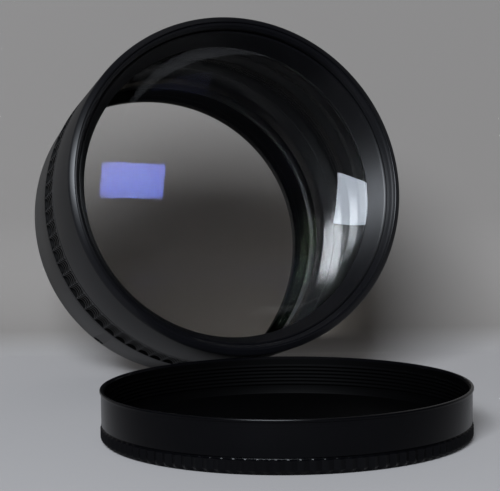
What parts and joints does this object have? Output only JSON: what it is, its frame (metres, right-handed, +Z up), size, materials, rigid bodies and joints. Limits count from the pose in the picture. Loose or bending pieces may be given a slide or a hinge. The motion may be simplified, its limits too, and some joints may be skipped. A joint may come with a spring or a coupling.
{
  "type": "telescope lens unit",
  "caption": "Short, wide black lens barrel with a fluted grip band, coated front glass and rear thread, propped on the rim of its round toothed dust cap, which lies open side up.",
  "frame": {"origin": "centre of the dust cap's flat underside, on the table", "axes": "+Z up along the cap's axis, +Y from the cap towards the lens barrel behind it, +X to the right for someone who faces the front glass"},
  "size_m": [0.1243, 0.1865, 0.1104],
  "materials": {
    "anodised_body": "black anodised, turned satin",
    "anodised_ring": "black anodised, turned satin",
    "anodised_gloss": "black anodised, polished",
    "anodised_thread": "black anodised, threaded",
    "anodised_cap": "black anodised, turned satin",
    "front_glass": "polished, violet coating",
    "rear_glass": "polished, green coating",
    "black_rubber": "matt",
    "black_acetal": "matt",
    "screw_steel": "blackened"
  },
  "bodies": {
    "cap": {"cap": "anodised_cap"},
    "lens_unit": {"front_cell": "anodised_body", "grip_ring": "anodised_body", "rear_housing": "anodised_body", "front_retaining_ring": "anodised_ring", "front_cushion_ring": "black_rubber", "front_lens": "front_glass", "front_seat_ring": "black_acetal", "baffle_tube": "anodised_gloss", "middle_retaining_ring": "anodised_gloss", "rear_cell": "anodised_gloss", "rear_cushion_ring": "black_rubber", "rear_lens_front": "rear_glass", "rear_spacer_ring": "black_acetal", "rear_lens_back": "rear_glass", "rear_thread_adapter": "anodised_thread", "adapter_screw_1": "screw_steel", "adapter_screw_2": "screw_steel", "adapter_screw_3": "screw_steel", "set_screw_1": "screw_steel", "set_screw_2": "screw_steel", "set_screw_3": "screw_steel"}
  },
  "joints": [
    {"name": "lens_lift", "type": "slide", "parent": "cap", "child": "lens_unit", "axis": [0, 0, 1], "range_m": [0, 0.12]}
  ]
}
